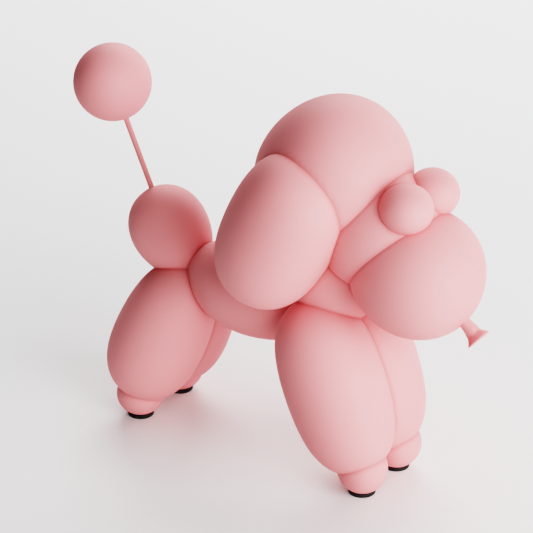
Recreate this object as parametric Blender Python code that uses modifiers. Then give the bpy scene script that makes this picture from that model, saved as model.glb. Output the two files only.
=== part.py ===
"""Balloon poodle: a cast statue of balloon bubbles pressed together, with a pompom tail on a thin rod, on four pads.

The dog faces +X, its left side is +Y and it stands on Z = 0. Lengths are in metres.
"""
import math

import bmesh
import bpy
from mathutils import Matrix, Vector

MM = 0.001

# height of the figure on its pads; its places and proportions are kept in thousandths of it
FIGURE_HEIGHT = 317.5 * MM
SHARE = FIGURE_HEIGHT / 1000

# fits
GAP = 0.3 * MM                  # between pieces that touch
# pads
PAD_DIAMETER = 22.5 * MM
PAD_HEIGHT = 3.5 * MM
PAD_EDGE = 0.6 * MM             # rounding of the pad's rims
# tail
POMPOM_DIAMETER = 64.0 * MM
ROD_DIAMETER = 4.5 * MM
SOCKET_DEPTH = 9.0 * MM         # of the holes in the rump and in the pompom
POMPOM_CENTRE = Vector((-488, 0, 886)) * SHARE
ROD_ROOT = Vector((-368.5, 0, 622)) * SHARE         # where the rod's axis leaves the rump
# nose knot: a tied balloon mouth on the snout
KNOT_ROOT = Vector((576, 0, 510.5)) * SHARE
KNOT_DROOP = math.radians(40.0)
KNOT_AXIS = Vector((math.cos(KNOT_DROOP), 0.0, -math.sin(KNOT_DROOP)))
KNOT_SUNK = 6.0 * MM            # length inside the head
STEM_RADIUS = 4.9 * MM
STEM_LENGTH = 10.4 * MM
STEM_BULGE = 6.8 * MM           # radius just before the pinch
PINCH_RADIUS = 6.0 * MM
SKIRT_LENGTH = 6.8 * MM
SKIRT_RADIUS = 10.3 * MM
SKIRT_RIM = 0.9 * MM            # thickness of the flared rim
# facets round a bubble 188 thousandths long to each side, and the fewest on a small one
FACETS = 26
MIN_FACETS = 18
# places that more than one piece uses, in thousandths, for the dog's left side
HIND_FOOT = (-354, 86, 62.5)
FRONT_FOOT = (345.5, 79, 68.5)


def material(name, colour, roughness, metallic=0.0):
    made = bpy.data.materials.new(name)
    made.use_nodes = True
    shader = made.node_tree.nodes["Principled BSDF"]
    shader.inputs["Base Color"].default_value = (*colour, 1.0)
    shader.inputs["Roughness"].default_value = roughness
    shader.inputs["Metallic"].default_value = metallic
    return made


def add(name, mesh, collection, surface, helper=False):
    """Link a new object; a helper is only an operand of a Boolean."""
    made = bpy.data.objects.new(name, mesh)
    mesh.materials.append(surface)
    collection.objects.link(made)
    made.parent = ROOT
    if helper:
        made.hide_render = True
        made.display_type = "WIRE"
    return made


def mesh_from(build):
    """A new mesh filled by build(bm)."""
    bm = bmesh.new()
    build(bm)
    bmesh.ops.recalc_face_normals(bm, faces=bm.faces)
    mesh = bpy.data.meshes.new("mesh")
    bm.to_mesh(mesh)
    bm.free()
    return mesh


def pose(centre, pitch, lean):
    """Frame of a bubble: its Z axis is the long axis, pitched from +X towards +Z and leaning towards +Y."""
    long_axis = Vector((math.cos(pitch) * math.cos(lean), math.sin(lean), math.sin(pitch) * math.cos(lean)))
    rise = Vector((-math.sin(pitch), 0.0, math.cos(pitch)))
    side = long_axis.cross(rise)
    turn = Matrix((rise, side, long_axis)).transposed()
    return Matrix.Translation(centre) @ turn.to_4x4()


def bubble(name, at, size, pitch=0.0, lean=0.0, fuller=0.0, squarer=0.0):
    """One balloon bubble, an ellipsoid whose girth is shaped along its length.

    at is the centre and size the half length, half height and half width, all in thousandths of the figure's height.
    fuller swells the far end and slims the near one; squarer swells both ends and slims the middle. Angles are in
    degrees.
    """
    half_length, half_height, half_width = (value * SHARE for value in size)
    round_count = max(MIN_FACETS, 2 * round(FACETS * math.sqrt(half_length / (188 * SHARE)) / 2))

    def build(bm):
        bmesh.ops.create_uvsphere(bm, u_segments=round_count, v_segments=round_count // 2, radius=1.0)
        for vert in bm.verts:
            along = vert.co.z
            girth = 1.0 + fuller * along + squarer * (along * along - 0.35)
            vert.co.x *= half_height * girth
            vert.co.y *= half_width * girth
            vert.co.z *= half_length

    made = add(name, mesh_from(build), BUBBLES, PINK, helper=True)
    made.matrix_world = pose(Vector(at) * SHARE, math.radians(pitch), math.radians(lean))
    return made


def pair(name, at, size, lean=0.0, **shape):
    """The same bubble on both sides: at and lean are those of the dog's left one."""
    x, y, z = at
    bubble(name + "_left", (x, y, z), size, lean=lean, **shape)
    bubble(name + "_right", (x, -y, z), size, lean=-lean, **shape)


def cylinder(name, start, end, diameter, collection, surface, sides=32, helper=False):
    axis = end - start

    def build(bm):
        bmesh.ops.create_cone(bm, cap_ends=True, segments=sides, radius1=diameter / 2, radius2=diameter / 2,
                              depth=axis.length)

    made = add(name, mesh_from(build), collection, surface, helper)
    made.matrix_world = Matrix.Translation((start + end) / 2) @ axis.to_track_quat("Z", "Y").to_matrix().to_4x4()
    return made


def boolean(target, operation, operand):
    cut = target.modifiers.new(operation.lower(), "BOOLEAN")
    cut.operation = operation
    cut.solver = "EXACT"
    if isinstance(operand, bpy.types.Collection):
        cut.operand_type = "COLLECTION"
        cut.collection = operand
    else:
        cut.object = operand
    return cut


def knot():
    """Turned stem and flared skirt of the tied balloon mouth, shallow and hollow at its end."""
    rim = STEM_LENGTH + SKIRT_LENGTH
    profile = [(0.0, -KNOT_SUNK), (STEM_RADIUS, -KNOT_SUNK), (STEM_RADIUS, 0.0)]
    profile += [(STEM_BULGE, STEM_LENGTH * 0.85), (PINCH_RADIUS, STEM_LENGTH)]
    profile += [(PINCH_RADIUS + (SKIRT_RADIUS - PINCH_RADIUS) * 0.45, STEM_LENGTH + SKIRT_LENGTH * 0.5)]
    profile += [(SKIRT_RADIUS, rim - SKIRT_RIM * 0.6), (SKIRT_RADIUS - SKIRT_RIM * 0.5, rim)]
    profile += [(PINCH_RADIUS, rim - SKIRT_RIM * 1.4), (0.0, rim - SKIRT_RIM * 2.2)]

    def build(bm):
        verts = [bm.verts.new((radius, 0.0, along)) for radius, along in profile]
        for first, second in zip(verts, verts[1:]):
            bm.edges.new((first, second))

    made = add("knot", mesh_from(build), BUBBLES, PINK, helper=True)
    turn = made.modifiers.new("turn", "SCREW")
    turn.axis = "Z"
    turn.steps = turn.render_steps = 20
    turn.use_merge_vertices = True
    turn.merge_threshold = 1e-5
    turn.use_normal_calculate = True
    made.matrix_world = Matrix.Translation(KNOT_ROOT) @ KNOT_AXIS.to_track_quat("Z", "Y").to_matrix().to_4x4()


def casting():
    """The figure: every bubble joined into one body, cut flat under the feet and drilled for the tail rod."""
    pair("hind_foot", HIND_FOOT, (58, 63, 63), pitch=90)
    pair("hind_leg", (-296.5, 55, 254.5), (211.5, 132, 134.5), pitch=66.8, lean=-5.6, fuller=-0.07, squarer=0.22)
    pair("front_foot", FRONT_FOOT, (66, 64, 64), pitch=90)
    pair("front_leg", (257, 73, 270.5), (234, 139.5, 140.5), pitch=112, lean=0.5, fuller=0.01, squarer=0.23)
    pair("ear", (139.5, 143, 688), (214, 155, 151), pitch=64, lean=-3, fuller=0.02, squarer=0.24)
    pair("brow", (439.5, 58.5, 791.5), (60.5, 65.5, 65.5), pitch=90)
    bubble("rump", (-303, 0, 511.5), (129, 102, 102), pitch=128.5, fuller=0.12)
    bubble("chest", (208.5, 0, 525), (121.5, 112.5, 112.5), pitch=82.3)
    bubble("neck", (335.5, 0, 691), (166, 144.5, 144.5), pitch=39.7)
    bubble("head", (435.5, 0, 604), (168.5, 160.5, 160.5), pitch=2.5, fuller=0.07)
    bubble("topknot", (184, 0, 803), (203, 181.5, 182.5), pitch=21, fuller=0.17, squarer=-0.02)
    knot()

    # the belly bubble carries the modifiers that join the others to it
    body = bubble("poodle", (-39, 0, 411.5), (200, 106, 106), pitch=-12.3, fuller=-0.22, squarer=-0.13)
    BUBBLES.objects.unlink(body)
    PIECES.objects.link(body)
    body.hide_render = False
    body.display_type = "TEXTURED"
    boolean(body, "UNION", BUBBLES)
    return body


def ground_cut():
    """Everything below the pads' tops, so the soles are flat."""
    top = PAD_HEIGHT + GAP
    low, high = Vector((-0.3, -0.15, -0.05)), Vector((0.3, 0.15, top))

    def build(bm):
        bmesh.ops.create_cube(bm, size=1.0)
        bmesh.ops.scale(bm, vec=high - low, verts=bm.verts)
        bmesh.ops.translate(bm, vec=(high + low) / 2, verts=bm.verts)

    return add("ground_cut", mesh_from(build), CUTTERS, PINK, helper=True)


def tail(body):
    """Rod in a blind socket at each end, and the pompom on it."""
    pompom_radius = POMPOM_DIAMETER / 2
    axis = (POMPOM_CENTRE - ROD_ROOT).normalized()
    low = ROD_ROOT - axis * SOCKET_DEPTH
    high = POMPOM_CENTRE - axis * (pompom_radius - SOCKET_DEPTH)
    bore = cylinder("rod_bore", low, high, ROD_DIAMETER + 2 * GAP, CUTTERS, PINK, helper=True)
    cylinder("tail_rod", low + axis * GAP, high - axis * GAP, ROD_DIAMETER, PIECES, STEEL)

    def build(bm):
        bmesh.ops.create_uvsphere(bm, u_segments=28, v_segments=14, radius=pompom_radius)

    pompom = add("tail_pompom", mesh_from(build), PIECES, PINK)
    pompom.matrix_world = Matrix.Translation(POMPOM_CENTRE)
    boolean(pompom, "DIFFERENCE", bore)
    boolean(body, "DIFFERENCE", bore)


def pad(name, x, y):
    made = cylinder(name, Vector((x, y, 0.0)), Vector((x, y, PAD_HEIGHT)), PAD_DIAMETER, PIECES, RUBBER, sides=24)
    rim = made.modifiers.new("rim", "BEVEL")
    rim.width = PAD_EDGE
    rim.segments = 1
    rim.limit_method = "ANGLE"


def main():
    body = casting()
    boolean(body, "DIFFERENCE", ground_cut())
    tail(body)
    for place, (x, y, _) in (("hind", HIND_FOOT), ("front", FRONT_FOOT)):
        pad(f"pad_{place}_left", x * SHARE, y * SHARE)
        pad(f"pad_{place}_right", x * SHARE, -y * SHARE)
    # the frame's origin is under the middle of the whole length, from the pompom's back to the knot's rim
    rim = KNOT_ROOT + KNOT_AXIS * (STEM_LENGTH + SKIRT_LENGTH)
    front = rim.x + SKIRT_RADIUS * math.sin(KNOT_DROOP)
    back = POMPOM_CENTRE.x - POMPOM_DIAMETER / 2
    ROOT.location.x = -(front + back) / 2
    bpy.context.view_layer.update()


for item in list(bpy.data.objects):
    bpy.data.objects.remove(item)
PIECES = bpy.data.collections.new("balloon poodle")
BUBBLES = bpy.data.collections.new("bubbles to join")
CUTTERS = bpy.data.collections.new("cutters")
for collection in (PIECES, BUBBLES, CUTTERS):
    bpy.context.scene.collection.children.link(collection)
PINK = material("pink lacquer", (0.75, 0.30, 0.30), 0.7)
STEEL = material("painted steel", (0.70, 0.27, 0.27), 0.7)
RUBBER = material("black rubber", (0.012, 0.011, 0.011), 0.75)
ROOT = bpy.data.objects.new("origin", None)
PIECES.objects.link(ROOT)
main()
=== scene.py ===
"""Finished look of the balloon poodle statue: lacquered bubbles, pleated nose knot, rod, pompom and pads.

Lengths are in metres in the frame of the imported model. The bubbles and their places are in thousandths of the
figure's height, and the nose knot is in millimetres.
"""

import math

import bmesh
import bpy
import numpy as np
from mathutils import Matrix, Vector


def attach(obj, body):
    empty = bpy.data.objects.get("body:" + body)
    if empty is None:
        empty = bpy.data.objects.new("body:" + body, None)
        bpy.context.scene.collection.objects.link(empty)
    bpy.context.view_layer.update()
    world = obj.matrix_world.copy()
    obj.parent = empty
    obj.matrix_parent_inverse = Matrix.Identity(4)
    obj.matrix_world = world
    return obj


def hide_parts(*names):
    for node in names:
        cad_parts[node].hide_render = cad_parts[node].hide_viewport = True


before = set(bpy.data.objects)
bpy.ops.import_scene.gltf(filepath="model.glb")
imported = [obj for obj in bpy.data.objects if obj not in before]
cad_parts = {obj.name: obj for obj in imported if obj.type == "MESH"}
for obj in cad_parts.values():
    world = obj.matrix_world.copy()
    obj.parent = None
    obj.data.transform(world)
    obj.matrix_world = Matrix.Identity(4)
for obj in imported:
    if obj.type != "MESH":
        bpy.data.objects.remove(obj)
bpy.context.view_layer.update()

MM = 0.001
FIGURE_HEIGHT = 317.5 * MM
SHARE = FIGURE_HEIGHT / 1000
GAP = 0.3 * MM
PAD_DIAMETER = 22.5 * MM
PAD_HEIGHT = 3.5 * MM
POMPOM_RADIUS = 32.0 * MM
ROD_DIAMETER = 4.5 * MM
SOCKET_DEPTH = 9.0 * MM

# nose knot, in millimetres
KNOT_DROOP = math.radians(40.0)
KNOT_AXIS = Vector((math.cos(KNOT_DROOP), 0.0, -math.sin(KNOT_DROOP)))
KNOT_SUNK = 6.0
STEM_RADIUS = 4.9
STEM_LENGTH = 10.4
PINCH_RADIUS = 6.0
SKIRT_LENGTH = 6.8
SKIRT_RADIUS = 10.3

# the frame's origin is under the middle of the whole length, from the pompom's back to the knot's lip
POMPOM_PLACE = (-488, 0, 886)
KNOT_PLACE = (576, 0, 510.5)
KNOT_REACH = (KNOT_AXIS.x * (STEM_LENGTH + SKIRT_LENGTH) + SKIRT_RADIUS * math.sin(KNOT_DROOP)) * MM
FRONT = KNOT_PLACE[0] * SHARE + KNOT_REACH
BACK = POMPOM_PLACE[0] * SHARE - POMPOM_RADIUS
SHIFT = Vector((-(FRONT + BACK) / 2, 0.0, 0.0))
POMPOM_CENTRE = Vector(POMPOM_PLACE) * SHARE + SHIFT
KNOT_ROOT = Vector(KNOT_PLACE) * SHARE + SHIFT
ROD_ROOT = Vector((-368.5, 0, 622)) * SHARE + SHIFT
HIND_FOOT = (-354, 86, 62.5)
FRONT_FOOT = (345.5, 79, 68.5)

# name: centre, half length, half height, half width, pitch, lean, fuller, squarer
# a bubble off the middle has a twin on the other side
BUBBLES = {
    "hind_foot": (HIND_FOOT, 58, 63, 63, 90, 0, 0, 0),
    "hind_leg": ((-296.5, 55, 254.5), 211.5, 132, 134.5, 66.8, -5.6, -0.07, 0.22),
    "front_foot": (FRONT_FOOT, 66, 64, 64, 90, 0, 0, 0),
    "front_leg": ((257, 73, 270.5), 234, 139.5, 140.5, 112, 0.5, 0.01, 0.23),
    "ear": ((139.5, 143, 688), 214, 155, 151, 64, -3, 0.02, 0.24),
    "brow": ((439.5, 58.5, 791.5), 60.5, 65.5, 65.5, 90, 0, 0, 0),
    "rump": ((-303, 0, 511.5), 129, 102, 102, 128.5, 0, 0.12, 0),
    "chest": ((208.5, 0, 525), 121.5, 112.5, 112.5, 82.3, 0, 0, 0),
    "neck": ((335.5, 0, 691), 166, 144.5, 144.5, 39.7, 0, 0, 0),
    "head": ((435.5, 0, 604), 168.5, 160.5, 160.5, 2.5, 0, 0.07, 0),
    "topknot": ((184, 0, 803), 203, 181.5, 182.5, 21, 0, 0.17, -0.02),
    "belly": ((-39, 0, 411.5), 200, 106, 106, -12.3, 0, -0.22, -0.13),
}
# a squarer bubble keeps its own girth where the square of the place along it is this
EVEN_SQUARE = 0.35
# rows of facets from end to end of a bubble, more on one longer than this to each side
BIG_BUBBLE = 30 * MM
BIG_ROWS, SMALL_ROWS = 48, 32
# how near a point lies to a bubble that owns it, and how far from a crease the painted shade along it fades out
SKIN_TOLERANCE = 0.12 * MM
CREASE_SHADE_WIDTH = 1.6 * MM


class Bubble:
    """A balloon bubble: an ellipsoid whose girth is shaped along its length."""

    def __init__(self, at, half_length, half_height, half_width, pitch, lean, fuller, squarer, side):
        self.half = np.array((half_height, half_width, half_length)) * SHARE
        self.fuller = fuller
        self.squarer = squarer
        pitch, lean = math.radians(pitch), math.radians(lean * side)
        flat = math.cos(lean)
        long_axis = Vector((math.cos(pitch) * flat, math.sin(lean), math.sin(pitch) * flat))
        rise = Vector((-math.sin(pitch), 0.0, math.cos(pitch)))
        self.turn = np.array(Matrix((rise, long_axis.cross(rise), long_axis)))
        self.centre = np.array(Vector((at[0], at[1] * side, at[2])) * SHARE + SHIFT)

    def girth(self, along):
        return 1.0 + self.fuller * along + self.squarer * (along * along - EVEN_SQUARE)

    def skin(self, unit):
        """Points of the skin for points of the unit sphere."""
        shaped = unit * self.half
        shaped[:, :2] *= self.girth(unit[:, 2:3])
        return shaped @ self.turn + self.centre

    def depth(self, points):
        """Distance outside the skin, negative inside, and the outward normal there."""
        x, y, z = ((points - self.centre) @ self.turn.T / self.half).T
        within = np.clip(z, -1.0, 1.0)
        girth = self.girth(within)
        slope = (self.fuller + 2.0 * self.squarer * within) * (within == z)
        across = (x * x + y * y) / girth ** 2
        level = np.sqrt(across + z * z) + 1e-9
        gradient = np.stack((x / girth ** 2, y / girth ** 2, z - across * slope / girth), axis=1)
        gradient /= self.half * level[:, None]
        steep = np.linalg.norm(gradient, axis=1) + 1e-9
        return (level - 1.0) / steep, (gradient / steep[:, None]) @ self.turn


def all_bubbles():
    made = []
    for at, *shape in BUBBLES.values():
        for side in ((1, -1) if at[1] else (1,)):
            made.append(Bubble(at, *shape, side))
    return made


def new_object(name, mesh):
    made = bpy.data.objects.new(name, mesh)
    bpy.context.scene.collection.objects.link(made)
    return made


def mesh_from(build):
    """A new mesh filled by build(bm)."""
    bm = bmesh.new()
    build(bm)
    bmesh.ops.recalc_face_normals(bm, faces=bm.faces)
    mesh = bpy.data.meshes.new("mesh")
    bm.to_mesh(mesh)
    bm.free()
    return mesh


def ball(rows, radius=1.0):
    def build(bm):
        bmesh.ops.create_uvsphere(bm, u_segments=2 * rows, v_segments=rows, radius=radius)
    return mesh_from(build)


def skin_over(rings):
    """A closed mesh over rings of points; a ring of one point closes an end."""
    def build(bm):
        rows = [[bm.verts.new(point) for point in ring] for ring in rings]
        for low, high in zip(rows, rows[1:]):
            count = max(len(low), len(high))
            for i in range(count):
                j = (i + 1) % count
                corners = [low[i % len(low)], low[j % len(low)], high[j % len(high)], high[i % len(high)]]
                bm.faces.new(list(dict.fromkeys(corners)))
    return mesh_from(build)


def turned(profile, steps, start=Vector(), axis=Vector((0, 0, 1))):
    """A closed turned mesh: profile holds (radius, distance along the axis)."""
    upright = axis.to_track_quat("Z", "Y")
    rings = []
    for radius, along in profile:
        count = steps if radius else 1
        angles = [2 * math.pi * i / count for i in range(count)]
        ring = [Vector((radius * math.cos(a), radius * math.sin(a), along)) for a in angles]
        rings.append([start + upright @ point for point in ring])
    return skin_over(rings)


def quarter_round(radius, along, size, start, steps):
    """Quarter circle of a profile about (radius, along), from the start angle on, without its first point."""
    angles = [start + math.pi / 2 * step / steps for step in range(1, steps + 1)]
    return [(radius + size * math.cos(a), along + size * math.sin(a)) for a in angles]


def smooth(made, sharp_degrees):
    made.data.shade_smooth()
    made.data.set_sharp_from_angle(angle=math.radians(sharp_degrees))
    return made


def apply_modifiers(made):
    """Replace the object's mesh by what its modifiers make of it."""
    graph = bpy.context.evaluated_depsgraph_get()
    mesh = bpy.data.meshes.new_from_object(made.evaluated_get(graph))
    made.modifiers.clear()
    made.data = mesh


def boolean(target, operation, operand):
    """Apply a Boolean with a mesh, which is then gone."""
    tool = new_object("operand", operand)
    cut = target.modifiers.new(operation.lower(), "BOOLEAN")
    cut.operation = operation
    cut.solver = "MANIFOLD"
    cut.object = tool
    apply_modifiers(target)
    bpy.data.objects.remove(tool)


def bubble_mesh(bubble):
    mesh = ball(BIG_ROWS if bubble.half.max() > BIG_BUBBLE else SMALL_ROWS)
    unit = np.empty(len(mesh.vertices) * 3)
    mesh.vertices.foreach_get("co", unit)
    mesh.vertices.foreach_set("co", bubble.skin(unit.reshape(-1, 3)).ravel())
    mesh.update()
    return mesh


def knot_profile():
    """Distance along the knot's axis and radius: stem, flare, rolled lip and the inside of the mouth."""
    rim = STEM_LENGTH + SKIRT_LENGTH
    stem = [(-KNOT_SUNK, STEM_RADIUS * 0.96), (0.0, STEM_RADIUS), (3.0, 4.95), (5.8, 5.3), (7.8, 5.75)]
    stem += [(9.2, 5.95), (STEM_LENGTH, PINCH_RADIUS)]
    flare = [(11.6, 6.35), (12.9, 7.2), (14.3, 8.35), (15.5, 9.4), (16.4, 10.0)]
    lip = [(17.0, SKIRT_RADIUS - 0.15), (rim, SKIRT_RADIUS - 0.55), (rim - 0.35, SKIRT_RADIUS - 1.1)]
    mouth = [(rim - 0.9, SKIRT_RADIUS - 2.0), (rim - 2.2, 6.5), (rim - 3.2, 3.6)]
    return stem + flare + lip + mouth


def pleating(angle, along):
    """Factor on the knot's radius: unequal folds where it was tied, and a lip that waves."""
    deepest, spread = STEM_LENGTH + 0.4, 2.4
    fold_depth, squeeze, wave_depth, wave_inset = 0.07, 0.05, 0.04, 0.02
    tied = math.exp(-((along - deepest) / spread) ** 2)
    flared = max(0.0, along - STEM_LENGTH) / SKIRT_LENGTH
    fold = math.sin(5 * angle + 0.8) + 0.6 * math.sin(8 * angle + 2.1) + 0.4 * math.sin(3 * angle)
    wave = wave_depth * math.sin(3 * angle + 1.0) - wave_inset
    return 1.0 + tied * (fold_depth * fold - squeeze) + wave * flared


def knot_mesh():
    """The tied mouth of the balloon: a stem drawn in softly, then the flared skirt."""
    steps = 144
    upright = KNOT_AXIS.to_track_quat("Z", "Y")
    rings = []
    for along, radius in knot_profile():
        ring = []
        for i in range(steps):
            angle = 2 * math.pi * i / steps
            reach = radius * pleating(angle, along)
            point = Vector((reach * math.cos(angle), reach * math.sin(angle), along)) * MM
            ring.append(KNOT_ROOT + upright @ point)
        rings.append(ring)
    low, high = ([sum(ring, Vector()) / steps] for ring in (rings[0], rings[-1]))
    return skin_over([low, *rings, high])


def read_array(items, field, length, kind=float):
    """One value or vector of each item of a mesh, as an array."""
    values = np.empty(len(items) * length, dtype=kind)
    items.foreach_get(field, values)
    return values.reshape(-1, length) if length > 1 else values


def dress_normals(made, bubbles):
    """Exact normals from the bubbles on their own skin, so that the creases between them stay crisp, and a mask
    of painted shade along the creases.
    """
    mesh = made.data
    points = read_array(mesh.vertices, "co", 3)
    depths, gradients = (np.stack(values) for values in zip(*(bubble.depth(points) for bubble in bubbles)))
    loops = read_array(mesh.loops, "vertex_index", 1, int)
    starts = read_array(mesh.polygons, "loop_start", 1, int)
    face_of_loop = np.repeat(np.arange(len(starts)), read_array(mesh.polygons, "loop_total", 1, int))
    worst = np.maximum.reduceat(np.abs(depths[:, loops]), starts, axis=1)
    owner = worst.argmin(axis=0)
    on_skin = worst.min(axis=0) < SKIN_TOLERANCE
    mesh.shade_smooth()
    normals = gradients[owner[face_of_loop], loops]
    off_skin = ~on_skin[face_of_loop]
    normals[off_skin] = read_array(mesh.corner_normals, "vector", 3)[off_skin]
    mesh.normals_split_custom_set(normals.tolist())
    # the second nearest bubble is near only at a crease, so the painted shade is laid where it is near
    second = np.sort(np.abs(depths), axis=0)[1]
    painted_crease_shade = mesh.attributes.new("painted_crease_shade", "FLOAT", "POINT")
    painted_crease_shade.data.foreach_set("value", np.exp(-(second / CREASE_SHADE_WIDTH) ** 2).astype(np.float32))


def make_casting():
    """The cast figure in one body: bubbles pressed together, flat soles and the socket of the tail rod."""
    bubbles = all_bubbles()
    body = new_object("poodle_casting", bubble_mesh(bubbles[-1]))
    for bubble in bubbles[:-1]:
        boolean(body, "UNION", bubble_mesh(bubble))
    boolean(body, "UNION", knot_mesh())
    # a cube of one metre whose top is the plane of the soles
    below = Matrix.Translation((0, 0, PAD_HEIGHT + GAP - 0.5))
    boolean(body, "DIFFERENCE", mesh_from(lambda bm: bmesh.ops.create_cube(bm, size=1.0, matrix=below)))
    boolean(body, "DIFFERENCE", socket_mesh())
    dress_normals(body, bubbles)
    return body


def rod_ends():
    """Direction of the rod and the bottoms of its two sockets."""
    axis = (POMPOM_CENTRE - ROD_ROOT).normalized()
    low = ROD_ROOT - axis * SOCKET_DEPTH
    high = POMPOM_CENTRE - axis * (POMPOM_RADIUS - SOCKET_DEPTH)
    return axis, low, high


def socket_mesh():
    axis, low, high = rod_ends()
    radius = ROD_DIAMETER / 2 + GAP
    length = (high - low).length
    return turned([(0, 0), (radius, 0), (radius, length), (0, length)], 48, low, axis)


def make_rod():
    axis, low, high = rod_ends()
    radius = ROD_DIAMETER / 2
    length = (high - low).length - 2 * GAP
    edge = 0.3 * MM
    profile = [(0, 0), (radius - edge, 0), (radius, edge), (radius, length * 0.5), (radius, length - edge)]
    profile += [(radius - edge, length), (0, length)]
    return smooth(new_object("tail_rod_painted", turned(profile, 48, low + axis * GAP, axis)), 35)


def make_pompom():
    mesh = ball(64, POMPOM_RADIUS)
    mesh.transform(Matrix.Translation(POMPOM_CENTRE))
    made = new_object("tail_pompom_ball", mesh)
    boolean(made, "DIFFERENCE", socket_mesh())
    return smooth(made, 35)


def make_pad(name, x, y):
    """Moulded rubber foot: flat glued top, slightly drafted side, rounded rims and a shallow dish beneath."""
    radius = PAD_DIAMETER / 2
    dish, foot_round, top_round = 0.5 * MM, 0.9 * MM, 0.5 * MM
    draft = 0.3 * MM
    side_top = (radius - 0.08 * MM, PAD_HEIGHT - 0.7 * MM)
    flat = radius - draft - foot_round
    # the dish, its sloping edge and the ring that the pad stands on
    profile = [(0, dish), (radius * 0.62, dish), (radius * 0.7, 0.1 * MM), (radius * 0.74, 0.0)]
    profile += [(flat, 0.0)]
    profile += quarter_round(flat, foot_round, foot_round, -math.pi / 2, 6) + [side_top]
    profile += quarter_round(radius - top_round, PAD_HEIGHT - top_round, top_round, 0.0, 5)
    profile += [(0, PAD_HEIGHT)]
    return smooth(new_object(name, turned(profile, 72, Vector((x, y, 0.0)))), 50)


def linear(code):
    """Linear colour of an sRGB hex code."""
    channels = [int(code[i:i + 2], 16) / 255 for i in (1, 3, 5)]
    return (*[c / 12.92 if c <= 0.04045 else ((c + 0.055) / 1.055) ** 2.4 for c in channels], 1.0)


def add_node(tree, kind, settings=None, **sockets):
    """Add a node: settings are its own, and each socket gets a value or a link from an output.

    A socket is called by its name, or by its number after an underscore where several share one name.
    """
    made = tree.nodes.new(kind)
    for name, value in (settings or {}).items():
        setattr(made, name, value)
    for name, value in sockets.items():
        socket = made.inputs[int(name[1:]) if name[1:].isdigit() else name.replace("_", " ")]
        if isinstance(value, bpy.types.NodeSocket):
            tree.links.new(value, socket)
        else:
            socket.default_value = value
    return made


def new_material(name):
    made = bpy.data.materials.new(name)
    made.use_nodes = True
    tree = made.node_tree
    shader = tree.nodes["Principled BSDF"]
    where = add_node(tree, "ShaderNodeTexCoord").outputs["Object"]
    return made, tree, shader, where


def lumps(tree, where, size, detail):
    """Noise whose lumps are size millimetres across."""
    noise = add_node(tree, "ShaderNodeTexNoise", Vector=where, Scale=1000 / size, Detail=detail)
    return noise.outputs["Fac"]


def mixed(tree, share, first, second, blend="MIX"):
    """Colour between two others; sockets 0, 6 and 7 are the share and the two colours."""
    settings = {"data_type": "RGBA", "blend_type": blend}
    return add_node(tree, "ShaderNodeMix", settings, _0=share, _6=first, _7=second).outputs[2]


def ranged(tree, value, low, high):
    """A value from 0 to 1 stretched to run from low to high."""
    return add_node(tree, "ShaderNodeMapRange", Value=value, To_Min=low, To_Max=high).outputs[0]


def bumped(tree, shader, height, strength, distance):
    bump = add_node(tree, "ShaderNodeBump", Strength=strength, Distance=distance, Height=height)
    tree.links.new(bump.outputs[0], shader.inputs["Normal"])


def matt_lacquer(name, tint, shade):
    """Sprayed matt lacquer on cast resin: no mirror-like glints, a powdery fine grain, barely mottled, and
    painted shade along the creases.
    """
    made, tree, shader, where = new_material(name)
    cloud = mixed(tree, lumps(tree, where, 36, 3.0), linear(tint), linear(shade))
    # painted shade: a touch darker and redder along the creases between bubbles, where shade falls
    painted_crease_shade = add_node(tree, "ShaderNodeAttribute", {"attribute_name": "painted_crease_shade"}).outputs["Fac"]
    tree.links.new(mixed(tree, painted_crease_shade, cloud, linear("#f2dcdc"), "MULTIPLY"), shader.inputs["Base Color"])
    tree.links.new(ranged(tree, lumps(tree, where, 11, 4.0), 0.66, 0.76), shader.inputs["Roughness"])
    # orange peel of a sprayed coat, about 1.5 mm across
    bumped(tree, shader, lumps(tree, where, 1.5, 2.0), 0.12, 0.1 * MM)
    shader.inputs["IOR"].default_value = 1.5
    return made


def moulded_rubber():
    """Black moulded rubber: dull, fine-grained, with a little grey bloom and dust."""
    made, tree, shader, where = new_material("moulded black rubber")
    bloom = lumps(tree, where, 6, 5.0)
    patches = add_node(tree, "ShaderNodeMapRange", Value=bloom, From_Min=0.45, From_Max=0.8).outputs[0]
    tree.links.new(mixed(tree, patches, linear("#0d0a0a"), linear("#1e1a19")), shader.inputs["Base Color"])
    tree.links.new(ranged(tree, bloom, 0.6, 0.8), shader.inputs["Roughness"])
    # grain of the spark-eroded mould, 0.1 mm on a real pad and drawn 0.4 mm so that it shows
    bumped(tree, shader, lumps(tree, where, 0.4, 2.0), 0.3, 0.08 * MM)
    shader.inputs["IOR"].default_value = 1.52
    return made


def white_paper():
    """Matte white paper: no gloss, hardly any tint, faintly uneven."""
    made, tree, shader, where = new_material("matte white paper")
    # the paper's fibres are too fine to show, so its faint unevenness is drawn 3 mm across
    tone = mixed(tree, lumps(tree, where, 3, 3.0), linear("#f6f5f5"), linear("#f3f2f2"))
    tree.links.new(tone, shader.inputs["Base Color"])
    shader.inputs["Roughness"].default_value = 0.9
    return made


def dress(made, surface, node):
    """Give a piece its material and the place of its node in the model."""
    made.data.materials.clear()
    made.data.materials.append(surface)
    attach(made, "root")
    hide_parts(node)


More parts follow.
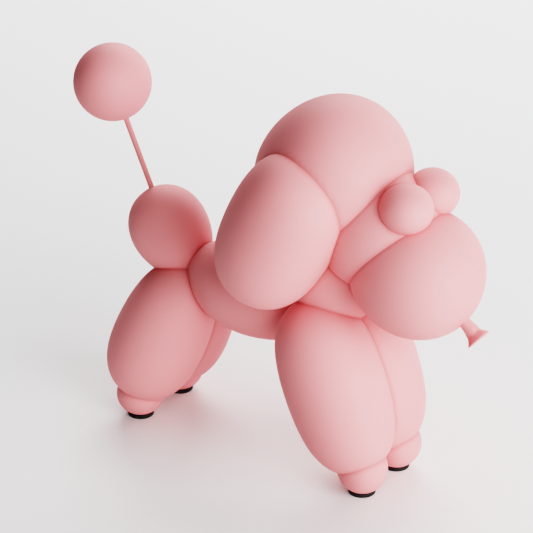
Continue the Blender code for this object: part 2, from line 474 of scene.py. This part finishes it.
def make_poodle():
    lacquer = matt_lacquer("matt pink lacquer on cast resin", "#e99293", "#e68e90")
    # painted shade: the rod's pink is the casting's lacquer made a little darker, for the shade on the thin rod
    rod_lacquer_painted_shade = matt_lacquer("matt pink lacquer on steel rod, darkened as painted shade", "#e08a8b", "#dc8687")
    rubber = moulded_rubber()
    dress(make_casting(), lacquer, "poodle")
    dress(make_pompom(), lacquer, "tail_pompom")
    dress(make_rod(), rod_lacquer_painted_shade, "tail_rod")
    for place, (x, y, _) in (("hind", HIND_FOOT), ("front", FRONT_FOOT)):
        for side, sign in (("left", 1), ("right", -1)):
            pad = make_pad(f"rubber_foot_{place}_{side}", x * SHARE + SHIFT.x, y * SHARE * sign)
            dress(pad, rubber, f"pad_{place}_{side}")


def direction(azimuth, elevation):
    """Unit vector from the dog, azimuth from its right side towards its nose."""
    azimuth, elevation = math.radians(azimuth), math.radians(elevation)
    flat = math.cos(elevation)
    return Vector((math.sin(azimuth) * flat, -math.cos(azimuth) * flat, math.sin(elevation)))


def aimed(name, data, target, towards, distance):
    """A lamp or camera that looks at the target from a distance."""
    made = new_object(name, data)
    made.location = target + towards * distance
    made.rotation_euler = towards.to_track_quat("Z", "Y").to_euler()
    return made


def make_floor():
    def build(bm):
        bmesh.ops.create_circle(bm, cap_ends=True, segments=96, radius=1.5)
    floor = new_object("floor", mesh_from(build))
    floor.data.materials.append(white_paper())


def make_camera():
    """Camera at the photo's viewing angle; the lens takes in the view's width at the dog."""
    distance, view_width = 1.8314, 0.4264
    lens = bpy.data.cameras.new("camera")
    lens.sensor_width = 36.0
    lens.lens = lens.sensor_width * distance / view_width
    lens.clip_end = 50.0
    target = Vector((-1.5, 0.0, 157.7)) * MM + SHIFT
    bpy.context.scene.camera = aimed("camera", lens, target, direction(35.47, 25.57), distance)


def make_lights():
    """Five softboxes: two very large ones before the dog's nose and right side, a broad one high behind its
    tail, a low one beyond its left side and a weak one overhead.
    """
    # azimuth, elevation, distance, size, power
    lamps = {
        "key": (86, 18, 2.4, 2.0, 66),
        "front": (60, 12, 2.4, 1.9, 36),
        "back": (214, 38, 2.2, 1.4, 37),
        "far_side": (170, 15, 2.2, 1.2, 19),
        "overhead": (0, 88, 2.0, 1.4, 6),
    }
    for name, (azimuth, elevation, distance, size, power) in lamps.items():
        lamp = bpy.data.lights.new(name, "AREA")
        lamp.size = size
        lamp.energy = power
        aimed(name, lamp, Vector((0, 0, 0.15)), direction(azimuth, elevation), distance)


def make_backdrop():
    """Backdrop that looks as pale as the floor and gives almost no light."""
    world = bpy.data.worlds.new("studio")
    world.use_nodes = True
    tree = world.node_tree
    seen = add_node(tree, "ShaderNodeLightPath").outputs["Is Camera Ray"]
    backdrop = tree.nodes["Background"]
    backdrop.inputs["Color"].default_value = (1.0, 1.0, 1.0, 1.0)
    tree.links.new(ranged(tree, seen, 0.03, 1.0), backdrop.inputs["Strength"])
    bpy.context.scene.world = world


def studio():
    """Plain pale floor, soft lights and the camera at the photo's viewing angle."""
    make_floor()
    make_camera()
    make_lights()
    make_backdrop()
    # a photograph's shoulder: the brightest pinks pale towards white and the shaded ones stay deep
    bpy.context.scene.view_settings.view_transform = "Filmic"
    bpy.context.scene.view_settings.look = "Very High Contrast"


make_poodle()
studio()
